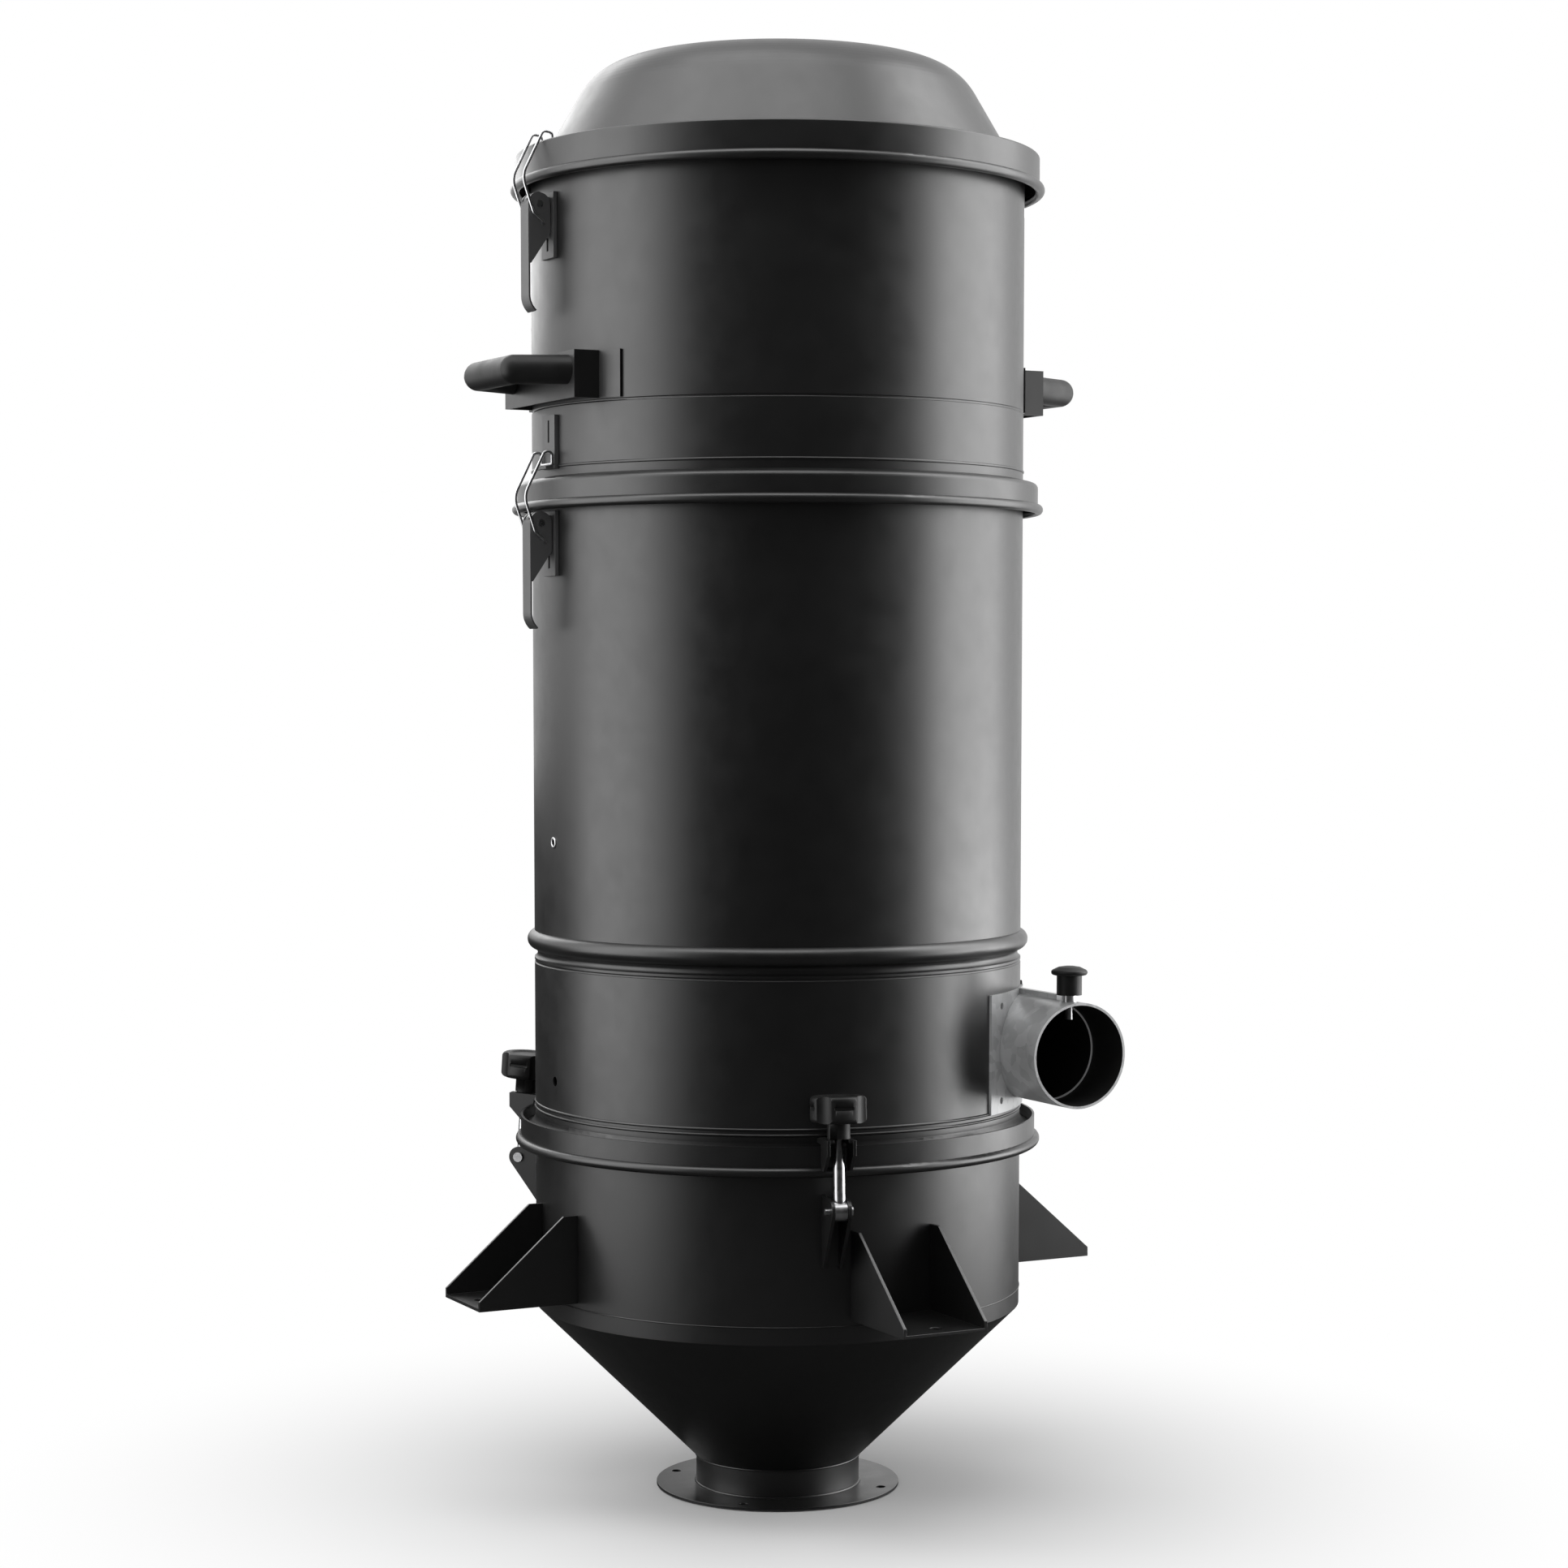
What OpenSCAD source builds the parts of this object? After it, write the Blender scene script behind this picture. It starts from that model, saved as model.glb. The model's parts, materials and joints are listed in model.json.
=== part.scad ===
// Hopper filter separator: a sheet-steel filter tower with a domed lid, a side inlet and a
// conical dust hopper, held together by over-centre latches and swing bolts. Millimetres, +Z up.
// The origin is the centre of the underside of the outlet flange.
// A piece placed "at azimuth A" is drawn with x pointing outwards, y along the wall and z up.

/* [Sheet metal] */
// Outside radius of the body
shell_r = 230; // [220:1:240]
// Thickness of the rolled sheet
sheet = 2; // [1.5:0.1:2.5]

/* [Outlet] */
// Radius of the outlet flange
flange_r = 116; // [112:1:130]
// Thickness of the outlet flange
flange_t = 3; // [2:0.5:6]
// Pitch circle of the outlet flange's bolts
outlet_pcd = 206; // [190:1:214]
// Diameter of the outlet flange's bolt holes
outlet_hole_d = 9; // [6:0.5:12]
// Outside radius of the outlet neck
neck_r = 78; // [60:1:84]
// Height of the outlet neck
neck_h = 29; // [20:1:50]

/* [Hopper] */
// Height of the cone
cone_h = 150; // [120:1:200]
// Height of the straight band above the cone
cone_band_h = 16; // [10:1:30]
// Height of the hopper's cylinder
hopper_h = 144; // [138:1:180]

/* [Rings] */
// Distance of the ring bands from the shell
ring_out = 14; // [13:0.5:16]
// Radius of the rolled edge below each band
roll_r = 4.5; // [3.5:0.1:5]
// Height of the clamp ring's band
clamp_band_h = 20; // [16:0.5:22]
// Height of the joint ring's band, down to its rolled edge
joint_band_h = 23; // [18:0.5:28]
// Height of the lid ring's band, down to its rolled edge
lid_band_h = 28.2; // [22:0.2:34]

/* [Lower shell] */
// Height of the lower shell
lower_h = 171; // [165:1:200]
// Radius of the cove above its foot
cove_r = 12.5; // [10:0.5:13]

/* [Middle shell] */
// Height of the middle shell
middle_h = 429; // [400:1:600]
// Height of the round bead at its foot
swage_h = 17; // [14:0.5:20]
// How far the round bead stands out past the shell
swage_out = 6.7; // [5:0.1:7.5]

/* [Upper shell] */
// Height of the upper shell
upper_h = 295.5; // [280:0.5:400]
// Height of the handles above its foot
handle_z = 68.5; // [66:0.5:100]

/* [Lid] */
// Outside radius of the dome's foot
dome_r = 217.3; // [214:0.1:220]
// Height of the dome
dome_h = 98.6; // [90:0.1:110]
// Lean of the dome's side from upright
dome_lean = 30.3; // [26:0.1:33]
// Radius of the dome's shoulder
knuckle_r = 61; // [50:1:66]
// Radius of the dome's crown
crown_r = 792; // [600:1:1000]

/* [Inlet] */
// Outside diameter of the inlet tube
inlet_d = 97; // [80:1:98]
// Wall of the inlet tube
inlet_wall = 2.3; // [1.5:0.1:3]
// Distance of the inlet's axis inside the shell's side
inlet_in = 50; // [48:0.5:54]
// Reach of the inlet's mouth past the shell's front
inlet_reach = 22; // [15:1:60]
// Height of the inlet's axis above the lower shell's foot
inlet_z = 82; // [80:0.5:84]
// Height of the saddle plate
saddle_h = 110.2; // [106:0.1:112]
// Depth of the hose stop behind the mouth
hose_depth = 52; // [50:1:66]

/* [Latches] */
// Distance of the latch's hinge pin from the shell
hinge_out = 14.6; // [14.4:0.1:15.5]
// Width of the latch lever
lever_w = 18; // [16:0.5:19]
// Length of the lever below its hinge pin
lever_l = 95.5; // [90:0.5:98]
// Distance between the centres of the bail's legs
bail_w = 24; // [23:0.5:25]
// Diameter of the bail's wire
wire_d = 2.6; // [2:0.1:2.8]

/* [Swing bolts] */
// Distance of the pivots from the shell
pivot_out = 33; // [32:0.5:35]
// Height of the pivots below the clamp ring
pivot_drop = 35; // [32:0.5:38]
// Lean of the bolts towards the shell
bolt_lean = 4; // [3:0.5:4.5]
// Diameter of the shank
shank_d = 10; // [8:0.5:12]
// Diameter of the threaded end
thread_d = 6; // [5:0.5:7]
// Diameter of the knob
knob_d = 50; // [44:1:51]
// Height of the knob's head
knob_h = 24; // [22:1:28]

/* [Feet] */
// Distance from the axis to the end of a foot
foot_r = 323; // [318:1:350]
// Width of a foot
foot_w = 84; // [70:1:90]
// Height of a foot at the shell
foot_h = 81; // [70:1:90]
// Thickness of a foot's plate
foot_t = 3; // [2:0.5:5]
// Distance of a foot's bolt from the foot's end
foot_bolt_in = 18; // [14:0.5:24]
// Diameter of the bolt hole in a foot
foot_hole_d = 11; // [8:0.5:14]

/* [Handles] */
// Width of the handle bracket
bracket_w = 160; // [150:1:170]
// Distance of the bracket's face from the shell
bracket_out = 12.3; // [11:0.1:16]
// Height of the handle bracket
bracket_h = 42; // [38:1:46]
// Reach of the grip past the bracket
grip_reach = 55; // [50:1:65]
// Diameter of the grip
grip_d = 26; // [22:1:28]

/* [Hidden] */
$fn = 240;

// Clearances: pieces that rest a hair apart, and pins that turn or slide
seat_gap = 0.3;
pin_gap = 0.05;
cut = 1;

// Places round the body, as azimuths: 0 is the front and 90 the right-hand side
left = -90;
right = 90;
sides = [left, right];
bolt_azimuths = [-15, 105, 225];

// Heights of the pieces, stacked from the flange up
gasket_h = 5;
joint_gasket_h = 4;
lid_gasket_h = 4;
cone_top_z = neck_h + cone_h;
hopper_z = cone_top_z + cone_band_h;
clamp_z = hopper_z + hopper_h;
lower_z = clamp_z + sheet + gasket_h;
middle_z = lower_z + lower_h;
rim_z = middle_z + middle_h;
upper_z = rim_z + joint_gasket_h;
upper_top_z = upper_z + upper_h;
lid_z = upper_top_z + lid_gasket_h;
dome_z = lid_z + sheet;

ring_r = shell_r + ring_out;
inner_r = shell_r - sheet;
neck_inner_r = neck_r - sheet;

paint = [0.20, 0.20, 0.21];
plastic = [0.06, 0.06, 0.06];
bright = [0.78, 0.79, 0.80];
rubber = [0.10, 0.10, 0.10];

// ---- Helpers ----

function unit(v) = v / norm(v);

// Points of an arc round a centre
function arc(centre, r, from, to, steps = 6) =
    [for (i = [0:steps]) centre + r * [cos(from + (to - from) * i / steps), sin(from + (to - from) * i / steps)]];

module at_azimuth(a) {
    rotate([0, 0, a - 90]) children();
}

// Stands the outline of its child upright as a plate of thickness t, centred on y = 0
module upright(t) {
    rotate([90, 0, 0]) translate([0, 0, -t / 2]) linear_extrude(t) children();
}

// The same plate on both sides of y = 0, from y = inside to y = inside + t
module pair(inside, t) {
    for (s = [-1, 1]) translate([0, s * (inside + t / 2), 0]) upright(t) children();
}

// Lays the z axis of its child along d and the y axis along b, starting at p
module placed(p, d, b) {
    x = cross(b, d);
    multmatrix([[x.x, b.x, d.x, p.x], [x.y, b.y, d.y, p.y], [x.z, b.z, d.z, p.z], [0, 0, 0, 1]]) children();
}

// A round bar of diameter d along straight runs, with a ball at each corner
module cornered_bar(points, d) {
    last = len(points) - 1;
    for (i = [0:last - 1]) {
        along = unit(points[i + 1] - points[i]);
        across = unit(cross(along, [0, 0, 1]));
        placed(points[i], along, across) cylinder(d = d, h = norm(points[i + 1] - points[i]), $fn = 64);
    }
    for (i = [1:last - 1]) translate(points[i]) sphere(d = d + 0.04, $fn = 64);
}

// A round wire along straight runs, with a bend of the given radius at each inner point
module bent_wire(points, radii, d) {
    last = len(points) - 1;
    turns = [for (i = [0:last]) (i == 0 || i == last) ? 0
        : acos(unit(points[i] - points[i - 1]) * unit(points[i + 1] - points[i]))];
    trim = [for (i = [0:last]) turns[i] == 0 ? 0 : radii[i] * tan(turns[i] / 2)];
    for (i = [0:last - 1]) {
        along = unit(points[i + 1] - points[i]);
        across = unit(cross(along, abs(along.y) < 0.9 ? [0, 1, 0] : [1, 0, 0]));
        run = norm(points[i + 1] - points[i]) - trim[i] - trim[i + 1];
        placed(points[i] + along * trim[i], along, across) linear_extrude(run) circle(d = d, $fn = 24);
    }
    for (i = [1:last - 1]) {
        along = unit(points[i] - points[i - 1]);
        onward = unit(points[i + 1] - points[i]);
        axis = unit(cross(along, onward));
        centre = points[i] + unit(onward - along) * radii[i] / cos(turns[i] / 2);
        start = unit(points[i] - along * trim[i] - centre);
        placed(centre, axis, cross(axis, start))
            rotate_extrude(angle = turns[i], $fn = 96) translate([radii[i], 0]) circle(d = d, $fn = 24);
    }
}

// ---- Outlet and hopper ----

module outlet_flange() {
    color(paint) difference() {
        cylinder(r = flange_r, h = flange_t);
        translate([0, 0, -cut]) cylinder(r = neck_r, h = flange_t + 2 * cut);
        for (a = [45:90:315]) {
            at_azimuth(a) translate([outlet_pcd / 2, 0, -cut])
                cylinder(d = outlet_hole_d, h = flange_t + 2 * cut, $fn = 32);
        }
    }
}

module outlet_neck() {
    color(paint) difference() {
        cylinder(r = neck_r, h = neck_h);
        translate([0, 0, -cut]) cylinder(r = neck_inner_r, h = neck_h + 2 * cut);
    }
}

module hopper_cone() {
    run = shell_r - neck_r;
    slope = cone_h / run;
    across = sheet * sqrt(1 + slope * slope) / slope;
    color(paint) rotate_extrude() polygon([
        [neck_r, neck_h],
        [shell_r, cone_top_z],
        [shell_r, hopper_z],
        [inner_r, hopper_z],
        [inner_r, neck_h + (inner_r - neck_r + across) * slope],
        [neck_inner_r, neck_h + (across - sheet) * slope],
        [neck_inner_r, neck_h]
    ]);
}

module hopper_shell() {
    color(paint) translate([0, 0, hopper_z]) difference() {
        cylinder(r = shell_r, h = hopper_h);
        translate([0, 0, -cut]) cylinder(r = inner_r, h = hopper_h + 2 * cut);
    }
}

// ---- Rings ----

roll_wall = 1.8;
roll_mouth = 2;
roll_drop = 2.9;

// Outline of the rolled edge at the foot of a band, left open towards the shell
module rolled_edge(z) {
    translate([ring_r + 0.3, z]) difference() {
        circle(r = roll_r, $fn = 48);
        circle(r = roll_r - roll_wall, $fn = 48);
        translate([-2 * roll_r, -roll_mouth / 2]) square([2 * roll_r, roll_mouth]);
    }
}

// The foot of a band's outline, where it runs into the rolled edge
function band_foot(z) = [[ring_r - sheet, z + roll_r - 0.7 * roll_wall], [ring_r, z + roll_r - 0.7 * roll_wall]];

module clamp_ring() {
    color(paint) translate([0, 0, clamp_z]) rotate_extrude() {
        rolled_edge(-roll_drop);
        polygon([
            [inner_r, 0], [ring_r, 0], [ring_r, clamp_band_h], [ring_r - sheet, clamp_band_h],
            [ring_r - sheet, sheet], [inner_r, sheet]
        ]);
    }
}

module clamp_gasket() {
    color(rubber) translate([0, 0, clamp_z + sheet]) rotate_extrude()
        translate([shell_r + 1, 0]) square([foot_out - 1, gasket_h]);
}

shoulder_r = 5;
shoulder_slope = 13;
shoulder_drop = 3.7;

// Height of the joint ring's sloping roof at radius r, above the upper shell's foot
function roof_z(r, depth) =
    -shoulder_drop + (shoulder_r - depth) / cos(shoulder_slope) + (ring_r - shoulder_r - r) * tan(shoulder_slope);

module joint_ring() {
    centre = [ring_r - shoulder_r, -shoulder_drop];
    color(paint) translate([0, 0, upper_z]) rotate_extrude() {
        rolled_edge(-joint_band_h);
        polygon(concat(
            arc(centre, shoulder_r - sheet, 90 - shoulder_slope, 0),
            band_foot(-joint_band_h),
            arc(centre, shoulder_r, 0, 90 - shoulder_slope),
            [[shell_r, roof_z(shell_r, 0)], [shell_r, roof_z(shell_r, sheet)]]
        ));
    }
}

module joint_gasket() {
    color(rubber) translate([0, 0, rim_z]) rotate_extrude()
        translate([inner_r, 0]) square([sheet + 5.5, joint_gasket_h]);
}

module lid_rim() {
    hole_r = dome_r - 5.3;
    corner = [ring_r - sheet, 0];
    color(paint) translate([0, 0, lid_z]) rotate_extrude() {
        rolled_edge(-lid_band_h);
        polygon(concat(
            [[hole_r, 0], corner],
            band_foot(-lid_band_h),
            arc(corner, sheet, 0, 90),
            [[hole_r, sheet]]
        ));
    }
}

module lid_gasket() {
    color(rubber) translate([0, 0, upper_top_z]) rotate_extrude()
        translate([shell_r - 1, 0]) square([11, lid_gasket_h]);
}

// ---- Shells ----

// Outline of a straight wall between two heights
module wall(from_z, to_z) {
    translate([inner_r, from_z]) square([sheet, to_z - from_z]);
}

// Outline of a fine ridge round the outside of a shell
module ridge(z) {
    translate([shell_r - 0.4, z]) circle(r = 1.4, $fn = 24);
}

// Outline of a fine pressed line round the outside of a shell
module pressed_line(z) {
    translate([shell_r + 0.6, z]) circle(r = 1.5, $fn = 24);
}

// The rim turned out at the top of a shell
rim_w = 8;

module rim(z) {
    translate([inner_r, z - sheet]) square([rim_w + sheet, sheet]);
}

// Radius of the arc with this chord and depth
function arc_r(chord, depth) = (chord * chord / 4 + depth * depth) / (2 * depth);

foot_out = 11.5;
groove_h = 8.4;
groove_depth = 2.8;
lower_ridge_z = lower_z + 21;
upper_ridge_z = lower_z + 26;
side_hole_d = 9;
lower_hole_rise = 54;
middle_hole_rise = 103;

// A small plain hole through both sides of a shell
module side_holes(z) {
    for (a = sides) at_azimuth(a) translate([inner_r - cut, 0, z]) rotate([0, 90, 0])
        cylinder(d = side_hole_d, h = sheet + 2 * cut, $fn = 32);
}

module lower_shell() {
    cove = [shell_r + cove_r, lower_z + sheet + cove_r];
    groove_r = arc_r(groove_h, groove_depth);
    groove = [shell_r + groove_r - groove_depth, middle_z - groove_h / 2];
    color(paint) difference() {
        rotate_extrude() {
            difference() {
                union() {
                    wall(cove.y, middle_z);
                    intersection() {
                        translate(groove) circle(r = groove_r + sheet, $fn = 64);
                        translate([inner_r - sheet, groove.y - groove_h]) square([2 * sheet, 1.5 * groove_h]);
                    }
                    ridge(lower_ridge_z);
                    ridge(upper_ridge_z);
                }
                translate(groove) circle(r = groove_r, $fn = 64);
                pressed_line(middle_z - 12);
            }
            intersection() {
                difference() {
                    translate(cove) circle(r = cove_r + sheet, $fn = 96);
                    translate(cove) circle(r = cove_r, $fn = 96);
                }
                translate([inner_r, lower_z]) square([foot_out + sheet, cove_r + sheet]);
            }
        }
        inlet_bar(inlet_bore_r, -inlet_end);
        side_holes(lower_z + lower_hole_rise);
    }
}

module middle_shell() {
    swage_r = arc_r(swage_h, swage_out);
    swage = [shell_r + swage_out - swage_r, middle_z + swage_h / 2];
    color(paint) difference() {
        rotate_extrude() difference() {
            union() {
                wall(middle_z, rim_z);
                rim(rim_z);
                intersection() {
                    translate(swage) circle(r = swage_r, $fn = 96);
                    translate([inner_r, middle_z]) square([2 * swage_r, swage_h]);
                }
            }
            translate(swage) circle(r = swage_r - sheet, $fn = 96);
        }
        side_holes(middle_z + middle_hole_rise);
    }
}

module upper_shell() {
    color(paint) rotate_extrude() {
        difference() {
            wall(upper_z, upper_top_z);
            pressed_line(upper_z + 66.6);
        }
        rim(upper_top_z);
        ridge(upper_z + 12);
    }
}

// ---- Lid ----

// The side of the dome leans in from its foot, meets the shoulder's arc, and that meets the crown's arc
side_x = dome_r - knuckle_r / cos(dome_lean);
crown_z = dome_h - crown_r;
knuckle_b = side_x * tan(dome_lean) + crown_z;
knuckle_c = pow(side_x, 2) + pow(crown_z, 2) - pow(crown_r - knuckle_r, 2);
knuckle_z = (knuckle_b + sqrt(pow(knuckle_b, 2) - (1 + pow(tan(dome_lean), 2)) * knuckle_c))
    / (1 + pow(tan(dome_lean), 2));
knuckle_x = side_x - knuckle_z * tan(dome_lean);
crown_edge = atan2(knuckle_z - crown_z, knuckle_x);

// Outline of the dome's outside, drawn in by the given depth
function dome_outline(depth) = concat(
    [[dome_r - depth / cos(dome_lean), 0]],
    arc([knuckle_x, knuckle_z], knuckle_r - depth, dome_lean, crown_edge, 12),
    arc([0, crown_z], crown_r - depth, crown_edge, 90, 10)
);

module lid_dome() {
    inside = dome_outline(sheet);
    color(paint) translate([0, 0, dome_z]) rotate_extrude()
        polygon(concat(dome_outline(0), [for (i = [len(inside) - 1:-1:0]) inside[i]]));
}

// ---- Inlet ----

inlet_x = shell_r - inlet_in;
inlet_mouth = shell_r + inlet_reach;
inlet_axis_z = lower_z + inlet_z;
inlet_bore_r = inlet_d / 2 - inlet_wall;
inlet_end = 20;
saddle_t = 2.5;
saddle_r = shell_r + saddle_t;
saddle_from = 30.3;
saddle_to = 88;
saddle_rise = 53.5;
saddle_top_z = inlet_axis_z + saddle_rise;
plunger_in = 19;
plunger_y = plunger_in - inlet_mouth;

// A round bar along the inlet's axis, from past its mouth to the given y
module inlet_bar(r, end_y, start_y = -inlet_mouth - cut) {
    translate([inlet_x, start_y, inlet_axis_z]) rotate([-90, 0, 0]) cylinder(r = r, h = end_y - start_y);
}

module inlet_saddle() {
    screw_d = 6.5;
    screw_in = 5.2;
    screw_rise = 43.7;
    color(bright) difference() {
        translate([0, 0, saddle_top_z - saddle_h]) rotate([0, 0, saddle_from - 90])
            rotate_extrude(angle = saddle_to - saddle_from) translate([shell_r, 0]) square([saddle_t, saddle_h]);
        inlet_bar(inlet_d / 2, -inlet_end);
        rotate_extrude() ridge(upper_ridge_z);
        for (a = [saddle_from + screw_in, saddle_to - screw_in], s = [-1, 1]) {
            at_azimuth(a) translate([inner_r, 0, saddle_top_z - saddle_h / 2 + s * screw_rise])
                rotate([0, 90, 0]) cylinder(d = screw_d, h = 4 * sheet, $fn = 32);
        }
    }
}

pin_d = 7.2;
barrel_d = 14;
barrel_z = saddle_top_z + 0.5;
body_d = 23;
body_h = 18.2;
socket_l = 8;

// A round bar upright on the plunger's axis between two heights
module plunger_bar(d, from_z, to_z) {
    translate([inlet_x, plunger_y, from_z]) cylinder(d = d, h = to_z - from_z, $fn = 64);
}

module inlet_tube() {
    stop_t = 1.5;
    rib_t = 5.5;
    rib_back = 17;
    rib_end_y = plunger_y + rib_back;
    color(bright) difference() {
        union() {
            inlet_bar(inlet_d / 2, -inlet_end, -inlet_mouth);
            translate([inlet_x - rib_t / 2, rib_end_y, inlet_axis_z])
                cube([rib_t, -inlet_end - rib_end_y, saddle_top_z - inlet_axis_z]);
        }
        difference() {
            inlet_bar(inlet_bore_r, 0);
            inlet_bar(inlet_bore_r, 0, hose_depth - inlet_mouth);
        }
        inlet_bar(inlet_bore_r - stop_t, 0);
        cylinder(r = shell_r, h = middle_z);
        difference() {
            cylinder(r = saddle_r, h = middle_z);
            inlet_bar(inlet_d / 2, 0);
        }
        plunger_bar(pin_d + 2 * pin_gap, inlet_axis_z, barrel_z);
    }
}

module plunger_barrel() {
    color(bright) difference() {
        plunger_bar(barrel_d, inlet_axis_z, barrel_z);
        inlet_bar(inlet_d / 2, 0);
        plunger_bar(pin_d + 2 * pin_gap, 0, barrel_z + cut);
    }
}

module plunger_pin() {
    color(bright) plunger_bar(pin_d, barrel_z - 22, barrel_z + seat_gap + socket_l);
}

module plunger_knob() {
    cap_r = 16.65;
    cap_h = 8.2;
    edge_r = 2.6;
    base_z = barrel_z + seat_gap;
    color(plastic) difference() {
        union() {
            plunger_bar(body_d, base_z, base_z + body_h + cut);
            translate([inlet_x, plunger_y, base_z + body_h]) rotate_extrude($fn = 64) polygon(concat(
                [[0, 0], [cap_r - edge_r, 0]],
                arc([cap_r - edge_r, edge_r], edge_r, -90, 60, 5),
                [[cap_r * 0.6, cap_h - 0.8], [cap_r * 0.3, cap_h], [0, cap_h]]
            ));
        }
        plunger_bar(pin_d, base_z - cut, base_z + socket_l);
    }
}

// ---- Feet ----

foot_z = hopper_z + 5;

module foot(a) {
    nose_h = 9;
    gusset_x = shell_r + 10;
    side = foot_w / 2 - foot_t;
    color(paint) at_azimuth(a) difference() {
        translate([0, 0, foot_z]) union() {
            translate([0, -foot_w / 2, 0]) cube([foot_r, foot_w, foot_t]);
            pair(side, foot_t)
                polygon([[0, 0], [foot_r, 0], [foot_r, nose_h], [gusset_x, foot_h], [0, foot_h]]);
        }
        translate([0, 0, foot_z - cut]) cylinder(r = shell_r, h = foot_h + 2 * cut);
        translate([foot_r - foot_bolt_in, 0, foot_z - cut]) cylinder(d = foot_hole_d, h = foot_t + 2 * cut, $fn = 32);
    }
}

// ---- Handles ----

bracket_z = upper_z + handle_z;
bracket_x = shell_r + bracket_out;
bracket_t = 2.5;

module handle_brackets() {
    half = bracket_w / 2;
    flange_from = asin((half - bracket_t / 2) / shell_r);
    flange_to = flange_from + 6.3;
    color(paint) for (a = sides) at_azimuth(a) translate([0, 0, bracket_z]) {
        difference() {
            union() {
                translate([bracket_x - bracket_t, -half, 0]) cube([bracket_t, bracket_w, bracket_h]);
                for (s = [-1, 1]) translate([shell_r / 2, s * (half - bracket_t / 2) - bracket_t / 2, 0])
                    cube([bracket_x - shell_r / 2, bracket_t, bracket_h]);
            }
            translate([0, 0, -cut]) cylinder(r = shell_r, h = bracket_h + 2 * cut);
        }
        for (s = [0, 1]) mirror([0, s, 0]) rotate([0, 0, flange_from])
            rotate_extrude(angle = flange_to - flange_from) translate([shell_r, 0]) square([bracket_t, bracket_h]);
    }
}

module handle_grips() {
    root_y = 62.5;
    corner_y = 42;
    sunk = 10;
    bar_x = bracket_x + grip_reach - grip_d / 2;
    lean = (root_y - corner_y) / (bar_x - bracket_x);
    foot = [bracket_x - sunk, root_y + sunk * lean];
    color(plastic) for (a = sides) at_azimuth(a) translate([0, 0, bracket_z + 25.5]) difference() {
        cornered_bar([
            [foot.x, -foot.y, 0],
            [bar_x, -corner_y, 0],
            [bar_x, corner_y, 0],
            [foot.x, foot.y, 0]
        ], grip_d);
        translate([bracket_x - 4 * sunk, -bracket_w, -bracket_h]) cube([4 * sunk, 2 * bracket_w, 2 * bracket_h]);
    }
}

// ---- Latches ----

plate_w = 27.6;
plate_t = 3.2;
plate_x = shell_r + plate_t;
base_h = 59;
upper_latch_drop = 97.5;
lower_latch_drop = 83;
upper_latch_z = upper_top_z - upper_latch_drop;
lower_latch_z = rim_z - lower_latch_drop;
hinge_x = shell_r + hinge_out;
hinge_z = 47.5;
hinge_d = 4;
cheek_t = 1.5;
cheek_y = 4.3;
lever_t = 1.7;
web_r = 10.9;

// The bail's pivot, from the hinge pin, and the height of the bail's crossbar where it is hooked
bail_at = [-3.6, -17];
bail_x = hinge_x + bail_at.x;
bail_z = hinge_z + bail_at.y;
upper_bar_z = dome_z + seat_gap + wire_d / 2 - upper_latch_z;
ledge_z = upper_z + 12;
lower_bar_z = ledge_z + seat_gap + wire_d / 2 - lower_latch_z;

// A flat plate against the shell, with an upright slot
module wall_plate(h, slot_from, slot_to) {
    slot_w = 3.5;
    difference() {
        translate([shell_r / 2, -plate_w / 2, 0]) cube([plate_x - shell_r / 2, plate_w, h]);
        translate([0, 0, -cut]) cylinder(r = shell_r, h = h + 2 * cut);
        translate([shell_r / 2, -slot_w / 2, slot_from]) cube([shell_r, slot_w, slot_to - slot_from]);
    }
}

module latch_bases() {
    slot_from = 7;
    slot_to = 18.5;
    cheek_r = 7;
    color(paint) for (a = sides, z = [upper_latch_z, lower_latch_z]) at_azimuth(a) translate([0, 0, z]) {
        wall_plate(base_h, slot_from, slot_to);
        pair(cheek_y, cheek_t) difference() {
            union() {
                translate([plate_x - cut, hinge_z - cheek_r]) square([hinge_out - plate_t + cut, 2 * cheek_r]);
                translate([hinge_x, hinge_z]) circle(r = cheek_r, $fn = 64);
            }
            translate([hinge_x, hinge_z]) circle(d = hinge_d, $fn = 32);
        }
    }
}

module latch_pins() {
    pin_l = lever_w + 2;
    head_d = 6;
    head_t = 0.8;
    color(bright) for (a = sides, z = [upper_latch_z, lower_latch_z]) {
        at_azimuth(a) translate([hinge_x, 0, z + hinge_z]) rotate([90, 0, 0]) {
            cylinder(d = hinge_d, h = pin_l, center = true, $fn = 32);
            for (s = [-1, 1]) translate([0, 0, s * (pin_l - head_t) / 2])
                cylinder(d = head_d, h = head_t, center = true, $fn = 32);
        }
    }
}

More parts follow.
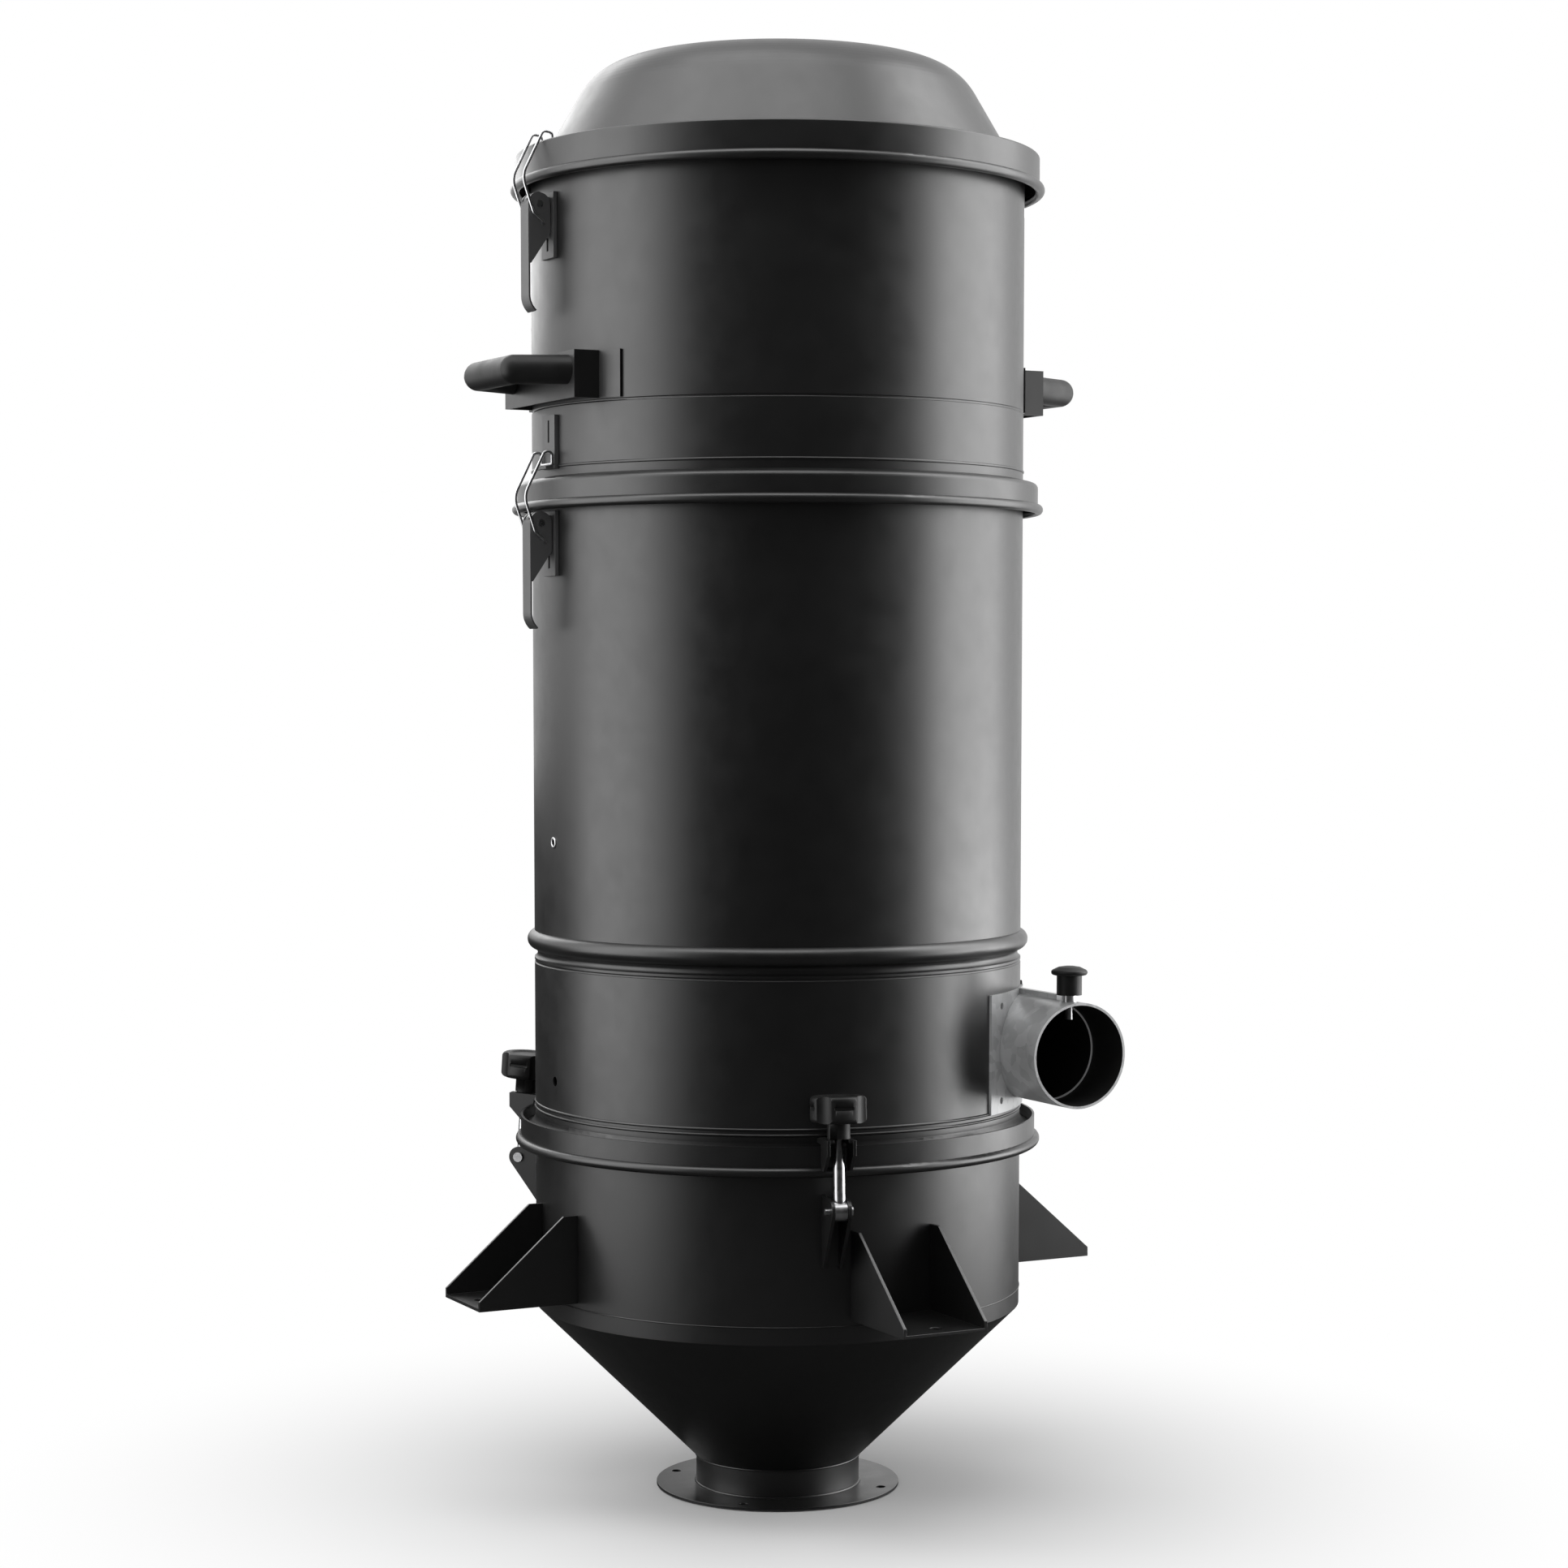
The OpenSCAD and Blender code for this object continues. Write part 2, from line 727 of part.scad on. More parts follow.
// The lever: a channel over the hinge that runs down into a strip with a curled tail
module lever(a, z) {
    disc_r = 10.4;
    flange_foot = -25.5;
    flange_tip = -52.7;
    curl_r = 19.2;
    curl_turn = 49;
    strip_z = -lever_l + curl_r * sin(curl_turn);
    cheek_slot = cheek_t + 1.4;
    slot_foot = 3;
    color(paint) at_azimuth(a) translate([hinge_x, 0, z + hinge_z]) difference() {
        union() {
            upright(lever_w) polygon(concat(
                arc([0, 0], web_r, 95, 0, 8),
                arc([web_r - curl_r, strip_z], curl_r, 0, -curl_turn, 8),
                arc([web_r - curl_r, strip_z], curl_r - lever_t, -curl_turn, 0, 8),
                arc([0, 0], web_r - lever_t, 0, 95, 8)
            ));
            pair(lever_w / 2 - lever_t, lever_t) union() {
                circle(r = disc_r, $fn = 64);
                polygon([
                    [-disc_r, 0], [-disc_r, flange_foot], [web_r - 2.7, flange_tip],
                    [web_r - lever_t / 2, flange_tip], [web_r - lever_t / 2, 0]
                ]);
            }
        }
        rotate([90, 0, 0]) cylinder(d = hinge_d + 2 * pin_gap, h = 2 * lever_w, center = true, $fn = 32);
        translate([bail_at.x, 0, bail_at.y]) rotate([90, 0, 0])
            cylinder(d = wire_d + 2 * pin_gap, h = 2 * lever_w, center = true, $fn = 32);
        // Slots that let the back of the channel pass over the base's cheeks as the lever opens
        for (s = [-1, 1]) translate([-web_r - cut, s * (cheek_y + cheek_t / 2) - cheek_slot / 2, slot_foot])
            cube([2 * (web_r + cut), cheek_slot, 2 * web_r]);
    }
}

// The wire bail, from its end in one side of the lever, over the hook and back to the other side
module bail(a, z, lean, bar_x, bar_z) {
    leg_y = bail_w / 2;
    end_y = lever_w / 2 - lever_t - 0.5;
    hook_x = bar_x - bail_x;
    leg = [[0, 0], [10.5, 8.8], [21.4, 40.8], [0.9, 81.6], [hook_x + lean, 80.6], [hook_x, bar_z - bail_z]];
    bends = [3, 6, 20, 4, 3.5, 1.8];
    out = [for (p = leg) [p.x, -leg_y, p.y]];
    back = [for (i = [len(leg) - 1:-1:0]) [leg[i].x, leg_y, leg[i].y]];
    color(bright) at_azimuth(a) translate([bail_x, 0, z + bail_z]) bent_wire(
        concat([[0, -end_y, 0]], out, back, [[0, end_y, 0]]),
        concat([0], bends, [for (i = [len(bends) - 1:-1:0]) bends[i]], [0]),
        wire_d
    );
}

// Places of the hooked crossbar, out from the axis: on the lid's rim and on the keeper's ledge
upper_bar_x = shell_r + 3.2;
lower_bar_x = plate_x + seat_gap + wire_d / 2;

module latch_keepers() {
    ledge_w = 20;
    ledge_l = 7;
    ledge_t = 2.5;
    keeper_h = 48.5;
    color(paint) for (a = sides) at_azimuth(a) difference() {
        translate([0, 0, ledge_z - ledge_t]) {
            wall_plate(keeper_h, 24, 44);
            translate([plate_x - cut, -ledge_w / 2, 0]) cube([ledge_l + cut, ledge_w, ledge_t]);
        }
        rotate_extrude() ridge(ledge_z);
    }
}

// ---- Swing bolts ----

pivot_x = shell_r + pivot_out;
pivot_z = clamp_z - pivot_drop;
bolt_pin_d = 6;
eye_w = 11;
ear_gap = 0.5;
ear_t = 3;
ear_y = eye_w / 2 + ear_gap;
thread_l = 95;
seat_s = 63.7;
boss_h = 14;

// Draws its child in the bolt's own frame: origin at the pivot, z along the bolt
module along_bolt(a) {
    at_azimuth(a) translate([pivot_x, 0, pivot_z]) rotate([0, -bolt_lean, 0]) children();
}

module swing_bolt(a) {
    eye_r = 8.5;
    taper_from = 41;
    taper_to = 59;
    color(bright) along_bolt(a) difference() {
        union() {
            rotate([90, 0, 0]) cylinder(r = eye_r, h = eye_w, center = true, $fn = 64);
            cylinder(d = shank_d, h = taper_from, $fn = 48);
            translate([0, 0, taper_from])
                cylinder(d1 = shank_d, d2 = thread_d, h = taper_to - taper_from, $fn = 48);
            translate([0, 0, taper_to]) cylinder(d = thread_d, h = thread_l - taper_to, $fn = 48);
        }
        rotate([90, 0, 0]) cylinder(d = bolt_pin_d + 2 * pin_gap, h = 2 * eye_w, center = true, $fn = 32);
    }
}

// The knob: a boss under a head with four lobes
module bolt_knob(a) {
    boss_d = 20.6;
    edge_r = 4;
    scallop_r = 14;
    scallop_depth = 3.5;
    dish_r = 17;
    hole_l = thread_l - seat_s - seat_gap + 1;
    color(plastic) along_bolt(a) translate([0, 0, seat_s + seat_gap]) difference() {
        union() {
            cylinder(d = boss_d, h = boss_h + cut, $fn = 64);
            translate([0, 0, boss_h]) rotate_extrude($fn = 96) polygon(concat(
                [[0, 0]],
                arc([knob_d / 2 - edge_r, edge_r], edge_r, -90, 0, 5),
                arc([knob_d / 2 - edge_r, knob_h - edge_r], edge_r, 0, 90, 5),
                [[dish_r, knob_h], [dish_r - 2, knob_h - 1.5], [0, knob_h - 1.5]]
            ));
        }
        translate([0, 0, -cut]) cylinder(d = thread_d + 0.2, h = hole_l + cut, $fn = 32);
        for (i = [45:90:315]) rotate([0, 0, i]) translate([knob_d / 2 - scallop_depth + scallop_r, 0, boss_h - cut])
            cylinder(r = scallop_r, h = knob_h + 2 * cut, $fn = 64);
    }
}

// The fork on the lower shell: two cheeks under a slotted seat that is square to the bolt
module bolt_forks() {
    inside = 10.2;
    fork_t = 3;
    slot_half = 6.5;
    seat_out = 12;
    seat_x = pivot_x - seat_s * sin(bolt_lean);
    seat_z = pivot_z + seat_s * cos(bolt_lean);
    seat_in = seat_x - shell_r - 2;
    step = 0.4;
    rise = tan(bolt_lean);
    top_z = seat_z - step;
    lip_z = clamp_z + clamp_band_h + 2;
    skirt_x = ring_r + 1;
    nose_x = seat_x + seat_out;
    color(paint) for (a = bolt_azimuths) difference() {
        union() {
            at_azimuth(a) pair(inside, fork_t) polygon([
                [shell_r - 6, lip_z], [skirt_x, lip_z], [skirt_x, clamp_z + 3.5], [skirt_x + 5.5, clamp_z - 0.5],
                [skirt_x + 11, clamp_z - 0.5], [nose_x, clamp_z + 15], [nose_x, top_z + (seat_out - 4) * rise],
                [nose_x - 2, top_z + (seat_out - 2) * rise], [shell_r + 3, top_z + (shell_r + 3 - seat_x) * rise],
                [shell_r - 6, top_z + (shell_r - 6 - seat_x) * rise - 1]
            ]);
            along_bolt(a) translate([-seat_in, -inside - fork_t / 2, seat_s - fork_t])
                cube([seat_in + seat_out - 1, 2 * inside + fork_t, fork_t]);
        }
        along_bolt(a) translate([0, 0, seat_s - 2 * fork_t]) {
            cylinder(r = slot_half, h = 4 * fork_t, $fn = 48);
            translate([0, -slot_half, 0]) cube([2 * seat_out, 2 * slot_half, 4 * fork_t]);
        }
        cylinder(r = shell_r, h = middle_z);
    }
}

// Two ears on the hopper, joined by a back plate against the shell
module bolt_clevises() {
    ear_r = 10;
    ear_foot = -56;
    back_t = 3;
    toe = [-pivot_out + 4, ear_foot];
    turn = atan2(toe.y, toe.x) + acos(ear_r / norm(toe));
    color(paint) for (a = bolt_azimuths) at_azimuth(a) difference() {
        union() {
            translate([pivot_x, 0, pivot_z]) pair(ear_y, ear_t) difference() {
                polygon(concat(
                    [[-pivot_out - 6, ear_foot], toe],
                    arc([0, 0], ear_r, turn, 90, 14),
                    [[-pivot_out - 6, ear_r]]
                ));
                circle(d = bolt_pin_d, $fn = 32);
            }
            translate([shell_r - 6, -ear_y - ear_t / 2, pivot_z + ear_foot + back_t])
                cube([6 + back_t, 2 * ear_y + ear_t, ear_r - ear_foot - 2 * back_t]);
        }
        cylinder(r = shell_r, h = clamp_z);
    }
}

module bolt_pins() {
    head_d = 9.3;
    head_t = 2.5;
    tail = 4.5;
    outside = ear_y + ear_t;
    color(bright) for (a = bolt_azimuths) at_azimuth(a) translate([pivot_x, 0, pivot_z]) rotate([-90, 0, 0]) {
        translate([0, 0, -outside - tail]) cylinder(d = bolt_pin_d, h = 2 * outside + tail + cut, $fn = 32);
        translate([0, 0, outside]) cylinder(d = head_d, h = head_t, $fn = 48);
    }
}

// ---- The nodes ----

outlet_flange();
outlet_neck();
hopper_cone();
hopper_shell();
clamp_ring();
clamp_gasket();
lower_shell();
middle_shell();
joint_gasket();
joint_ring();
upper_shell();
lid_gasket();
lid_rim();
lid_dome();
inlet_saddle();
inlet_tube();
plunger_barrel();
plunger_pin();
plunger_knob();
foot(0);  // foot_front
foot(right);  // foot_right
foot(180);  // foot_back
foot(left);  // foot_left
handle_brackets();
handle_grips();
latch_keepers();
latch_bases();
latch_pins();
lever(left, upper_latch_z);  // lever_upper_left
lever(right, upper_latch_z);  // lever_upper_right
lever(left, lower_latch_z);  // lever_lower_left
lever(right, lower_latch_z);  // lever_lower_right
bail(left, upper_latch_z, 0.2, upper_bar_x, upper_bar_z);  // bail_upper_left
bail(right, upper_latch_z, 0.2, upper_bar_x, upper_bar_z);  // bail_upper_right
bail(left, lower_latch_z, 0, lower_bar_x, lower_bar_z);  // bail_lower_left
bail(right, lower_latch_z, 0, lower_bar_x, lower_bar_z);  // bail_lower_right
bolt_forks();
bolt_clevises();
bolt_pins();
swing_bolt(bolt_azimuths[0]);  // swing_bolt_front
swing_bolt(bolt_azimuths[1]);  // swing_bolt_right
swing_bolt(bolt_azimuths[2]);  // swing_bolt_left
bolt_knob(bolt_azimuths[0]);  // bolt_knob_front
bolt_knob(bolt_azimuths[1]);  // bolt_knob_right
bolt_knob(bolt_azimuths[2]);  // bolt_knob_left
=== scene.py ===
# %% [markdown]
# # A hopper filter separator, dressed for the studio
# The machine is a tower of black powder-coated sheet steel: a dust hopper below,
# filter shells above it, and a domed lid on top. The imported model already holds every
# solid at its true size, so it is loaded first and is never moved. This script only
# adds finishes, small worked details, light and a camera.
# A maker could also rebuild the whole tower in Blender, but then each ring would have
# to be measured twice. Loading the solids keeps one set of sizes for everybody.

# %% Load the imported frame
import json
import math

import bpy
from mathutils import Matrix, Vector


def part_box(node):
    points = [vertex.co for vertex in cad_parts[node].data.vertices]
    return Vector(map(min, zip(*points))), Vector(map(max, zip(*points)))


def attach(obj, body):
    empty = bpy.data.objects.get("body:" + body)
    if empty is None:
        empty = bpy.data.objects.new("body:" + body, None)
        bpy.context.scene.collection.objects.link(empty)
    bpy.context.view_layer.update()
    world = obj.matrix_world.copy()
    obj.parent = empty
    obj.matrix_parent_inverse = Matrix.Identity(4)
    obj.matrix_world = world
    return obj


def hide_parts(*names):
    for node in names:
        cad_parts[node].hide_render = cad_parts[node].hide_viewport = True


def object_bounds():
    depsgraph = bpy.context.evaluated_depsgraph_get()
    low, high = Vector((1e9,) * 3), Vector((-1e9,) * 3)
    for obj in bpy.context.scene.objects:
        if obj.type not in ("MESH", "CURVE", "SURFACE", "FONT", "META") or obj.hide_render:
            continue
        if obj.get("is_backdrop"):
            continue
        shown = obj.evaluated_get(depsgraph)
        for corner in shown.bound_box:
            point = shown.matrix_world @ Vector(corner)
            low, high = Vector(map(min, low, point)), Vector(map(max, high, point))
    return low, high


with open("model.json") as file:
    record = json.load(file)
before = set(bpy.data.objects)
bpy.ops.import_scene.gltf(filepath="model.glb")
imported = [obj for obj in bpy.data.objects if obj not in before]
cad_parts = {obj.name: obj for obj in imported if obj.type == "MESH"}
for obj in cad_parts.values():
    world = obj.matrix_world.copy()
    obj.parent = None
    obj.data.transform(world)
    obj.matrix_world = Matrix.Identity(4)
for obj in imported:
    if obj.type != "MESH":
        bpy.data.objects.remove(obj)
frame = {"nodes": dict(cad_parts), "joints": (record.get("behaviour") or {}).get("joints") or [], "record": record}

solids_low, solids_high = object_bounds()
print("solids span", [round(v, 4) for v in solids_high - solids_low], "metres")

# %% [markdown]
# ## Selecting by hand, in code
# Every operator works on what is selected, and the loaded solids are still selected.
# So the first habit is to clear the selection. The second is to pick faces by where
# they are or which way they look, just as a hand would click them.

# %% Clear the selection and name a new piece
def clear_selection():
    if bpy.context.object and bpy.context.object.mode == "EDIT":
        bpy.ops.object.mode_set(mode="OBJECT")
    bpy.ops.object.select_all(action="DESELECT")


def named_piece(name):
    piece = bpy.context.object
    piece.name = name
    piece.data.name = name
    return piece


clear_selection()
print("selected now:", len(bpy.context.selected_objects))

# %% Pick faces by their place
def pick_faces(piece, wanted):
    """Selects the faces that pass the test, and stays in edit mode."""
    bpy.ops.object.mode_set(mode="EDIT")
    bpy.ops.mesh.select_mode(type="FACE")
    bpy.ops.mesh.select_all(action="DESELECT")
    bpy.ops.object.mode_set(mode="OBJECT")
    for face in piece.data.polygons:
        face.select = wanted(face.center, face.normal)
    bpy.ops.object.mode_set(mode="EDIT")


SAME_PLACE = 0.000002


def close_edit(angle):
    """Leaves edit mode with the normals outwards and smooth shading up to an angle."""
    bpy.ops.mesh.select_all(action="SELECT")
    bpy.ops.mesh.remove_doubles(threshold=SAME_PLACE)
    bpy.ops.mesh.normals_make_consistent(inside=False)
    bpy.ops.object.mode_set(mode="OBJECT")
    bpy.ops.object.shade_smooth_by_angle(angle=math.radians(angle))


print("hand tools ready")

# %% Turn a bearing round the tower into a place
def outward(bearing):
    """The direction away from the axis. The tube's mouth faces 0, and its plate is at 90."""
    turn = math.radians(bearing)
    return Vector((math.sin(turn), -math.cos(turn), 0))


def on_wall(bearing, radius, height):
    """A place on the tower's wall: its local Z points outwards and its local Y points up."""
    out = outward(bearing)
    up = Vector((0, 0, 1))
    place = Matrix((up.cross(out), up, out)).transposed().to_4x4()
    place.translation = out * radius + up * height
    return place


def settle(piece, place, body):
    """Moves a piece to its place, puts that into its mesh, and fastens the piece to a body."""
    clear_selection()
    piece.select_set(True)
    bpy.context.view_layer.objects.active = piece
    piece.matrix_world = place @ piece.matrix_world
    bpy.ops.object.transform_apply(location=True, rotation=True, scale=True)
    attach(piece, body)
    return piece


TOWER = "separator"
HERE = Matrix.Identity(4)
joints = {joint["name"]: joint for joint in frame["joints"]}
wall_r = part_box("hopper_shell")[1].x
print("the shell's radius is", round(wall_r, 4))

# %% [markdown]
# ## The camera
# A long lens from about three metres keeps the tower's sides nearly parallel, as a
# catalogue picture does. The lens is raised a little by shift, which is what a view
# camera does to keep a tall machine upright in the frame.

# %% Set up the camera
camera_data = bpy.data.cameras.new("studio_camera")
camera_data.sensor_width = 36
camera_data.lens = 76.49
camera_data.shift_x = 0.0043
camera_data.shift_y = 0.09
camera = bpy.data.objects.new("studio_camera", camera_data)
camera.location = (-1.4306, -2.8094, 0.7774)
camera.rotation_euler = (math.radians(85.63), 0, math.radians(-26.981))
bpy.context.scene.collection.objects.link(camera)
bpy.context.scene.camera = camera
bpy.context.scene.view_settings.view_transform = "Standard"
CAMERA_BEARING = math.degrees(math.atan2(camera.location.x, -camera.location.y))
print("the camera stands at bearing", round(CAMERA_BEARING, 1))

# %% [markdown]
# ## Finishes
# All finishes are node materials that read Object coordinates in metres, so a grain of
# one millimetre is one millimetre on every piece. A flat colour would look like plastic:
# real powder coat has a faint orange peel, and its gloss drifts a little from place to
# place. The noise that does this feeds the colour, the roughness and the bump.

# %% Start a finish and add nodes to it
def start_finish(name):
    finish = bpy.data.materials.new(name)
    finish.use_nodes = True
    tree = finish.node_tree
    tree.nodes.clear()
    shader = tree.nodes.new("ShaderNodeBsdfPrincipled")
    output = tree.nodes.new("ShaderNodeOutputMaterial")
    tree.links.new(shader.outputs["BSDF"], output.inputs["Surface"])
    return finish, tree, shader


def node(tree, kind, values=None, links=None, **settings):
    made = tree.nodes.new("ShaderNode" + kind)
    for name, value in settings.items():
        setattr(made, name, value)
    for socket, value in (values or {}).items():
        made.inputs[socket].default_value = value
    for socket, source in (links or {}).items():
        tree.links.new(source, made.inputs[socket])
    return made.outputs


print("finish helpers ready")

# %% Noise, ramps and bumps that every finish shares
def object_place(tree):
    return node(tree, "TexCoord")["Object"]


def noise(tree, place, scale, detail=2.0, roughness=0.5):
    values = {"Scale": scale, "Detail": detail, "Roughness": roughness}
    return node(tree, "TexNoise", values, {"Vector": place})["Fac"]


def between(tree, factor, low, high, start=0.3, end=0.7):
    values = {"From Min": start, "From Max": end, "To Min": low, "To Max": high}
    return node(tree, "MapRange", values, {"Value": factor})["Result"]


def tone(tree, factor, dark, light, start=0.3, end=0.7):
    colour = node(tree, "ValToRGB", links={"Fac": factor})["Color"]
    ramp = colour.node.color_ramp
    ramp.elements[0].position, ramp.elements[1].position = start, end
    ramp.elements[0].color, ramp.elements[1].color = (*dark, 1), (*light, 1)
    return colour


def bump(tree, height, distance, strength=1.0, under=None):
    links = {"Height": height} if under is None else {"Height": height, "Normal": under}
    return node(tree, "Bump", {"Strength": strength, "Distance": distance}, links)["Normal"]


def maths(tree, operation, first, second=None, clamp=False, **values):
    links = {0: first} if second is None else {0: first, 1: second}
    numbers = {int(name[1]): value for name, value in values.items()}
    return node(tree, "Math", numbers, links, operation=operation, use_clamp=clamp)["Value"]


print("texture helpers ready")

# %% [markdown]
# ## Black powder coat
# The shells, feet, brackets and latches are sprayed with black polyester powder and
# baked. It dries to a satin film: nearly black where nothing shines on it, and silver
# where a soft lamp is mirrored. The peel is about three millimetres across and a few
# hundredths of one deep. A finer grain, below a millimetre, softens the mirror. An image
# could hold both, but noise in metres needs no unwrapping and fits every piece. The
# latches wear a lighter copy of the same coat: painted light for their side plates,
# which here mirror the dark shell beside them.

# %% Make the powder coats
def powder_coat(name, dark, light, gloss_low, gloss_high):
    finish, tree, shader = start_finish(name)
    place = object_place(tree)
    drift = noise(tree, place, 7, 4)
    smudge = noise(tree, place, 38, 5, 0.6)
    grain = bump(tree, noise(tree, place, 1400, 1), 0.00002, 0.35)
    peel = bump(tree, noise(tree, place, 330, 2), 0.00004, 0.3, grain)
    tree.links.new(tone(tree, drift, dark, light), shader.inputs["Base Color"])
    tree.links.new(between(tree, smudge, gloss_low, gloss_high), shader.inputs["Roughness"])
    tree.links.new(peel, shader.inputs["Normal"])
    shader.inputs["Specular IOR Level"].default_value = 0.95
    return finish


BODY_BLACK = (0.0028, 0.0028, 0.0029), (0.0046, 0.0046, 0.0047)
LID_BLACK = (0.0032, 0.0032, 0.0033), (0.0055, 0.0055, 0.0056)
# the latch coat is the body's black made lighter, as painted light on the latches' side plates
LATCH_BLACK_LIT = (0.034, 0.034, 0.0345), (0.046, 0.046, 0.0465)
body_paint = powder_coat("body_paint", *BODY_BLACK, 0.34, 0.41)
lid_paint = powder_coat("lid_paint", *LID_BLACK, 0.34, 0.41)
latch_paint = powder_coat("latch_paint", *LATCH_BLACK_LIT, 0.36, 0.44)
print("made", body_paint.name, lid_paint.name, latch_paint.name)

# %% [markdown]
# ## Bright zinc
# Rods, wire bails and pins are zinc plated and left bright, with a fine grain and duller
# clouds where hands have been. Drawn wire has fine lines too, and they could be made by
# stretching the grain along each rod. The wires are so thin that nobody would tell, so
# one even grain serves all of them, whichever way they run.

# %% Make the bright zinc
def bright_zinc(name):
    finish, tree, shader = start_finish(name)
    place = object_place(tree)
    clouds = noise(tree, place, 160, 4, 0.6)
    colour = tone(tree, clouds, (0.60, 0.60, 0.61), (0.82, 0.82, 0.83))
    tree.links.new(colour, shader.inputs["Base Color"])
    tree.links.new(between(tree, clouds, 0.26, 0.38), shader.inputs["Roughness"])
    grain = bump(tree, noise(tree, place, 2600, 1), 0.000012, 0.35)
    tree.links.new(grain, shader.inputs["Normal"])
    shader.inputs["Metallic"].default_value = 1.0
    return finish


bright_steel = bright_zinc("bright_steel")
print("made", bright_steel.name)

# %% [markdown]
# ## Galvanised sheet
# The hose inlet is bare galvanised steel. Zinc freezes in flat crystals called spangle,
# each mirroring a slightly different way, with a milky film over them. Voronoi cells
# give the crystals, and soft noise gives the film. An image of spangle would show its
# repeats on a tube this long, and cells don't repeat. Within the bore's radius of the
# tube's axis the finish turns matte and near black: painted shade for the dark inside of
# the tube. The lip of the hose stop, inside the tube, stays bare.

# %% Measure the tube and mark its painted inside
TUBE_WALL = 0.0023
HOSE_DEPTH = 0.052
LIP_HALF = 0.0004  # half the lip's thickness, and the bare edge at the mouth
PAINT_REACH = 0.0003
tube_low, tube_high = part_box("inlet_tube")
tube_x = joints["plunger_slide"]["pos_m"][0]
tube_r = tube_x - tube_low.x
tube_axis = Vector((tube_x, 0, tube_low.z + tube_r))
bore_r = tube_r - TUBE_WALL
stop_y = tube_low.y + HOSE_DEPTH


def painted_bore_shade(tree, place):
    """1 inside the bore, where shade is painted, and 0 on the bare outside, mouth and hose stop."""
    local = node(tree, "VectorMath", {1: tube_axis}, {0: place}, operation="SUBTRACT")["Vector"]
    flat = node(tree, "VectorMath", {1: (1, 0, 1)}, {0: local}, operation="MULTIPLY")["Vector"]
    reach = node(tree, "VectorMath", links={0: flat}, operation="LENGTH")["Value"]
    inside = maths(tree, "LESS_THAN", reach, _1=bore_r + PAINT_REACH)
    along = node(tree, "SeparateXYZ", links={"Vector": place})["Y"]
    lip = maths(tree, "COMPARE", along, _1=stop_y, _2=LIP_HALF)
    behind_mouth = maths(tree, "GREATER_THAN", along, _1=tube_low.y + LIP_HALF)
    return maths(tree, "MULTIPLY", maths(tree, "SUBTRACT", inside, lip, clamp=True), behind_mouth)


print("bore", round(bore_r, 4), "hose stop at y", round(stop_y, 4))

# %% Make the galvanised finishes
ZINC_METAL = 0.45  # the milky film scatters the rest of the light


def galvanised_sheet(name, has_bore):
    finish, tree, shader = start_finish(name)
    place = object_place(tree)
    wobble = node(tree, "TexNoise", {"Scale": 60.0}, {"Vector": place})["Color"]
    shifted = node(tree, "VectorMath", {"Scale": 0.012}, {0: wobble}, operation="SCALE")["Vector"]
    warped = node(tree, "VectorMath", links={0: place, 1: shifted}, operation="ADD")["Vector"]
    crystals = node(tree, "TexVoronoi", {"Scale": 85.0}, {"Vector": warped})["Color"]
    facet = node(tree, "SeparateColor", links={"Color": crystals})["Red"]
    film = between(tree, noise(tree, place, 22, 5, 0.55), 0.30, 0.42)
    rough = maths(tree, "ADD", maths(tree, "MULTIPLY", facet, _1=0.06), film)
    colour = tone(tree, facet, (0.40, 0.404, 0.408), (0.53, 0.534, 0.538), 0.0, 1.0)
    grain = bump(tree, noise(tree, place, 900, 2), 0.000015, 0.3)
    tree.links.new(bump(tree, facet, 0.00002, 0.12, grain), shader.inputs["Normal"])
    shader.inputs["Metallic"].default_value = ZINC_METAL
    if has_bore:
        # inside the bore the finish is painted shade: near black, matte and not metallic
        painted = painted_bore_shade(tree, place)
        paint = {7: (0.006, 0.006, 0.006, 1)}
        mix = node(tree, "Mix", paint, {0: painted, 6: colour}, data_type="RGBA")
        colour = mix[2]
        rough = node(tree, "Mix", {3: 0.6}, {0: painted, 2: rough})[0]
        tree.links.new(between(tree, painted, ZINC_METAL, 0.0, 0.0, 1.0), shader.inputs["Metallic"])
    tree.links.new(colour, shader.inputs["Base Color"])
    tree.links.new(rough, shader.inputs["Roughness"])
    return finish


galvanised = galvanised_sheet("galvanised", False)
galvanised_tube = galvanised_sheet("galvanised_tube", True)
print("made", galvanised.name, galvanised_tube.name)

# %% [markdown]
# ## Moulded plastic and rubber
# Grips and knobs are black nylon from a spark-eroded mould, which leaves an even, fine
# grain that scatters light. The gaskets are soft foamed rubber: duller, with open pores.
# Both are a dark colour under a grain, so one helper makes them from different numbers
# and the two can be compared line by line.

# %% Make the plastic and the rubber
def moulded(name, colour, lighter, gloss_low, gloss_high, grain_scale, grain_depth):
    finish, tree, shader = start_finish(name)
    place = object_place(tree)
    patches = noise(tree, place, 45, 4, 0.55)
    tree.links.new(tone(tree, patches, colour, lighter), shader.inputs["Base Color"])
    tree.links.new(between(tree, patches, gloss_low, gloss_high), shader.inputs["Roughness"])
    grain = bump(tree, noise(tree, place, grain_scale, 2), grain_depth, 0.5)
    tree.links.new(grain, shader.inputs["Normal"])
    shader.inputs["Specular IOR Level"].default_value = 0.4
    return finish


def grey(level):
    return (level, level, level)


knob_plastic = moulded("knob_plastic", grey(0.003), grey(0.006), 0.42, 0.54, 1100, 0.00004)
gasket_rubber = moulded("gasket", grey(0.006), grey(0.012), 0.7, 0.85, 800, 0.0001)
print("made", knob_plastic.name, gasket_rubber.name)
